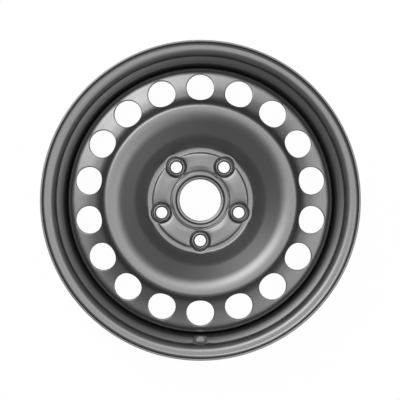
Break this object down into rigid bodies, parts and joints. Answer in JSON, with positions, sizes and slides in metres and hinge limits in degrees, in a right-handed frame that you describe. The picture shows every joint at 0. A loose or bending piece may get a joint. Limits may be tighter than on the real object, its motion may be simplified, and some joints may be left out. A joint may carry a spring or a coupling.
{
  "type": "steel wheel",
  "caption": "Pressed-steel road wheel with round ventilation holes, a recessed bolt circle and a drop-centre rim.",
  "frame": {"origin": "centre of the hub mounting face, on the wheel axis", "axes": "+Z along the wheel axis towards the street side, -Y towards the valve hole"},
  "size_m": [0.4406, 0.4404, 0.1912],
  "materials": {
    "black_wheel_paint": "satin",
    "painted_weld": "satin"
  },
  "bodies": {
    "root": {"rim": "black_wheel_paint", "disc": "black_wheel_paint", "weld_bead_1": "painted_weld", "weld_bead_2": "painted_weld", "weld_bead_3": "painted_weld", "weld_bead_4": "painted_weld", "weld_bead_5": "painted_weld", "weld_bead_6": "painted_weld", "weld_bead_7": "painted_weld", "weld_bead_8": "painted_weld"}
  },
  "joints": []
}
